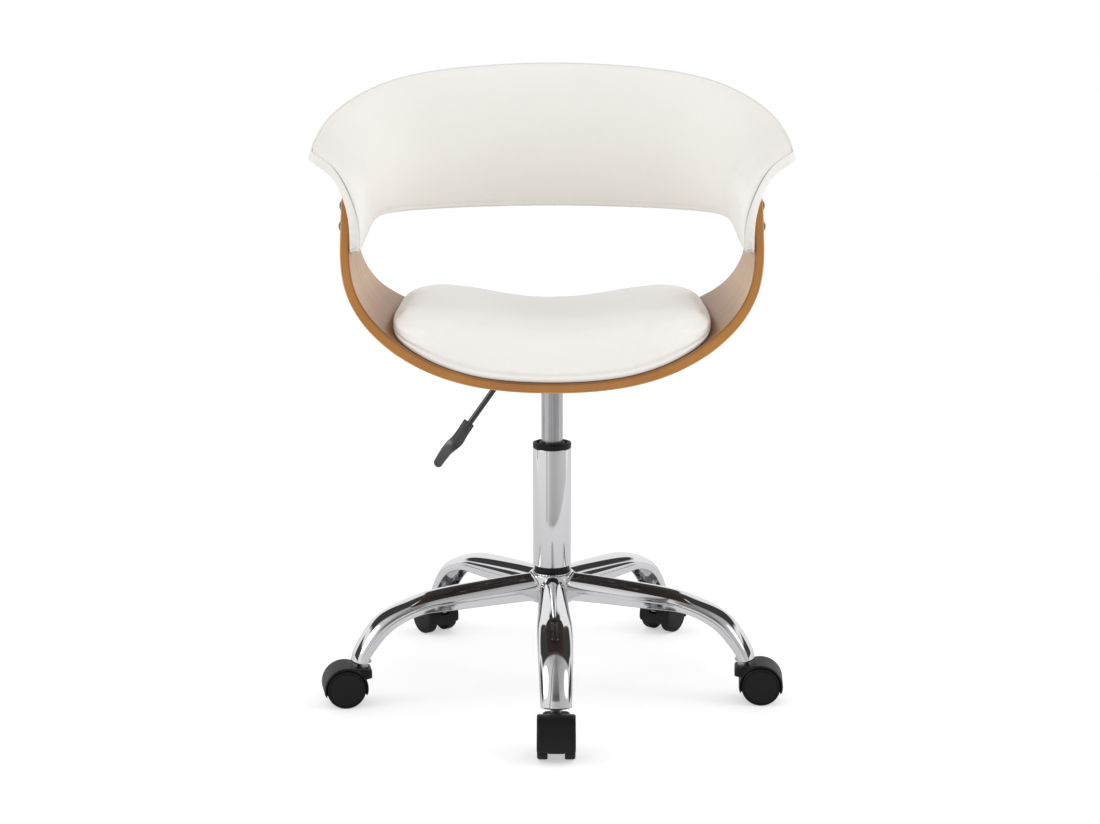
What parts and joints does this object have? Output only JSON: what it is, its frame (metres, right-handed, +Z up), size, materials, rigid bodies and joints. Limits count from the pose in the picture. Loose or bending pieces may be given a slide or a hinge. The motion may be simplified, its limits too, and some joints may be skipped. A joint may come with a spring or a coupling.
{
  "type": "swivel desk chair",
  "caption": "Low-back swivel desk chair with bent-plywood seat shell, wrap-around padded back and arms, gas lift with side lever, and chromed star base on twin-wheel casters",
  "frame": {"origin": "on the swivel axis of the column, at floor level under the caster wheels", "axes": "+Z up, -Y the front of the chair where the sitter's knees are, +X to the right of a viewer who faces the chair from the front; the lever is on the -X side"},
  "size_m": [0.6064, 0.5743, 0.8053],
  "materials": {
    "chrome": "polished chromium plate",
    "weld_steel": "bare zinc-plated steel",
    "satin_steel": "satin ground steel tube",
    "black_steel": "black powder coat",
    "bearing_steel": "hardened steel",
    "black_plastic": "moulded black plastic, satin",
    "wheel_plastic": "hard black wheel plastic",
    "handle_plastic": "moulded black grip",
    "seal_rubber": "black rubber",
    "shell_wood": "clear-lacquered bent plywood, walnut-coloured faces and golden-brown edges",
    "core_ply": "raw plywood",
    "leather": "white leatherette over foam",
    "screw_steel": "nickel-plated screw heads"
  },
  "bodies": {
    "base": {"hub": "chrome", "leg_front": "chrome", "leg_front_left": "chrome", "leg_front_right": "chrome", "leg_rear_left": "chrome", "leg_rear_right": "chrome", "stem_sockets": "weld_steel", "hub_cap_ring": "black_plastic", "stand_tube": "chrome", "tube_bushing": "black_plastic", "thrust_washer": "bearing_steel", "thrust_balls": "bearing_steel"},
    "spindle": {"piston_rod": "bearing_steel", "piston": "bearing_steel", "bump_stop": "seal_rubber", "retaining_clip": "bearing_steel"},
    "seat": {"gas_cylinder": "satin_steel", "cylinder_gland": "black_plastic", "seat_plate": "black_steel", "mount_spacers": "black_plastic", "seat_bolts": "weld_steel", "tee_nuts": "weld_steel", "seat_shell": "shell_wood", "cushion_base": "core_ply", "seat_cushion": "leather", "back_plywood": "core_ply", "back_front_pad": "leather", "back_rear_cover": "leather", "back_edge_strip": "leather", "arm_screws": "screw_steel", "arm_inserts": "weld_steel", "lever_pivot_pin": "bearing_steel"},
    "lever": {"lever_rod": "black_steel", "lever_handle": "handle_plastic"},
    "button": {"release_button": "black_plastic"},
    "caster_front_fork": {"caster_front_hood": "black_plastic", "caster_front_stem": "bearing_steel", "caster_front_axle": "bearing_steel"},
    "caster_front_roller_a": {"caster_front_wheel_a": "wheel_plastic"},
    "caster_front_roller_b": {"caster_front_wheel_b": "wheel_plastic"},
    "caster_front_left_fork": {"caster_front_left_hood": "black_plastic", "caster_front_left_stem": "bearing_steel", "caster_front_left_axle": "bearing_steel"},
    "caster_front_left_roller_a": {"caster_front_left_wheel_a": "wheel_plastic"},
    "caster_front_left_roller_b": {"caster_front_left_wheel_b": "wheel_plastic"},
    "caster_front_right_fork": {"caster_front_right_hood": "black_plastic", "caster_front_right_stem": "bearing_steel", "caster_front_right_axle": "bearing_steel"},
    "caster_front_right_roller_a": {"caster_front_right_wheel_a": "wheel_plastic"},
    "caster_front_right_roller_b": {"caster_front_right_wheel_b": "wheel_plastic"},
    "caster_rear_left_fork": {"caster_rear_left_hood": "black_plastic", "caster_rear_left_stem": "bearing_steel", "caster_rear_left_axle": "bearing_steel"},
    "caster_rear_left_roller_a": {"caster_rear_left_wheel_a": "wheel_plastic"},
    "caster_rear_left_roller_b": {"caster_rear_left_wheel_b": "wheel_plastic"},
    "caster_rear_right_fork": {"caster_rear_right_hood": "black_plastic", "caster_rear_right_stem": "bearing_steel", "caster_rear_right_axle": "bearing_steel"},
    "caster_rear_right_roller_a": {"caster_rear_right_wheel_a": "wheel_plastic"},
    "caster_rear_right_roller_b": {"caster_rear_right_wheel_b": "wheel_plastic"}
  },
  "joints": [
    {"name": "seat_swivel", "type": "hinge", "parent": "base", "child": "spindle", "pos_m": [0, 0, 0.12], "axis": [0, 0, 1], "continuous": true},
    {"name": "seat_height", "type": "slide", "parent": "spindle", "child": "seat", "axis": [0, 0, 1], "range_m": [-0.05, 0.06]},
    {"name": "lever_lift", "type": "hinge", "parent": "seat", "child": "lever", "pos_m": [-0.034, 0, 0.422], "axis": [0, 1, 0], "range_deg": [0, 6], "stiffness_Nm_per_rad": 1.5, "springref_deg": -2.86},
    {"name": "button_press", "type": "slide", "parent": "seat", "child": "button", "axis": [0, 0, -1], "range_m": [0, 0.0036]},
    {"name": "caster_front_swivel", "type": "hinge", "parent": "base", "child": "caster_front_fork", "pos_m": [0.00538, -0.25694, 0.06], "axis": [0, 0, 1], "continuous": true},
    {"name": "caster_front_roll_a", "type": "hinge", "parent": "caster_front_fork", "child": "caster_front_roller_a", "pos_m": [0.00538, -0.27994, 0.025], "axis": [1, 0, 0], "continuous": true},
    {"name": "caster_front_roll_b", "type": "hinge", "parent": "caster_front_fork", "child": "caster_front_roller_b", "pos_m": [0.00538, -0.27994, 0.025], "axis": [1, 0, 0], "continuous": true},
    {"name": "caster_front_left_swivel", "type": "hinge", "parent": "base", "child": "caster_front_left_fork", "pos_m": [-0.2427, -0.08452, 0.06], "axis": [0, 0, 1], "continuous": true},
    {"name": "caster_front_left_roll_a", "type": "hinge", "parent": "caster_front_left_fork", "child": "caster_front_left_roller_a", "pos_m": [-0.2652, -0.0893, 0.025], "axis": [0.2079, -0.9781, 0], "continuous": true},
    {"name": "caster_front_left_roll_b", "type": "hinge", "parent": "caster_front_left_fork", "child": "caster_front_left_roller_b", "pos_m": [-0.2652, -0.0893, 0.025], "axis": [0.2079, -0.9781, 0], "continuous": true},
    {"name": "caster_front_right_swivel", "type": "hinge", "parent": "base", "child": "caster_front_right_fork", "pos_m": [0.24603, -0.07428, 0.06], "axis": [0, 0, 1], "continuous": true},
    {"name": "caster_front_right_roll_a", "type": "hinge", "parent": "caster_front_right_fork", "child": "caster_front_right_roller_a", "pos_m": [0.26894, -0.07629, 0.025], "axis": [0.0872, 0.9962, 0], "continuous": true},
    {"name": "caster_front_right_roll_b", "type": "hinge", "parent": "caster_front_right_fork", "child": "caster_front_right_roller_b", "pos_m": [0.26894, -0.07629, 0.025], "axis": [0.0872, 0.9962, 0], "continuous": true},
    {"name": "caster_rear_left_swivel", "type": "hinge", "parent": "base", "child": "caster_rear_left_fork", "pos_m": [-0.15538, 0.20471, 0.06], "axis": [0, 0, 1], "continuous": true},
    {"name": "caster_rear_left_roll_a", "type": "hinge", "parent": "caster_rear_left_fork", "child": "caster_rear_left_roller_a", "pos_m": [-0.1689, 0.22332, 0.025], "axis": [-0.809, -0.5878, 0], "continuous": true},
    {"name": "caster_rear_left_roll_b", "type": "hinge", "parent": "caster_rear_left_fork", "child": "caster_rear_left_roller_b", "pos_m": [-0.1689, 0.22332, 0.025], "axis": [-0.809, -0.5878, 0], "continuous": true},
    {"name": "caster_rear_right_swivel", "type": "hinge", "parent": "base", "child": "caster_rear_right_fork", "pos_m": [0.14667, 0.21104, 0.06], "axis": [0, 0, 1], "continuous": true},
    {"name": "caster_rear_right_roll_a", "type": "hinge", "parent": "caster_rear_right_fork", "child": "caster_rear_right_roller_a", "pos_m": [0.16019, 0.22964, 0.025], "axis": [-0.809, 0.5878, 0], "continuous": true},
    {"name": "caster_rear_right_roll_b", "type": "hinge", "parent": "caster_rear_right_fork", "child": "caster_rear_right_roller_b", "pos_m": [0.16019, 0.22964, 0.025], "axis": [-0.809, 0.5878, 0], "continuous": true}
  ],
  "couplings": [
    {"joint": "button_press", "follows": "lever_lift", "m_per_rad": 0.034}
  ]
}
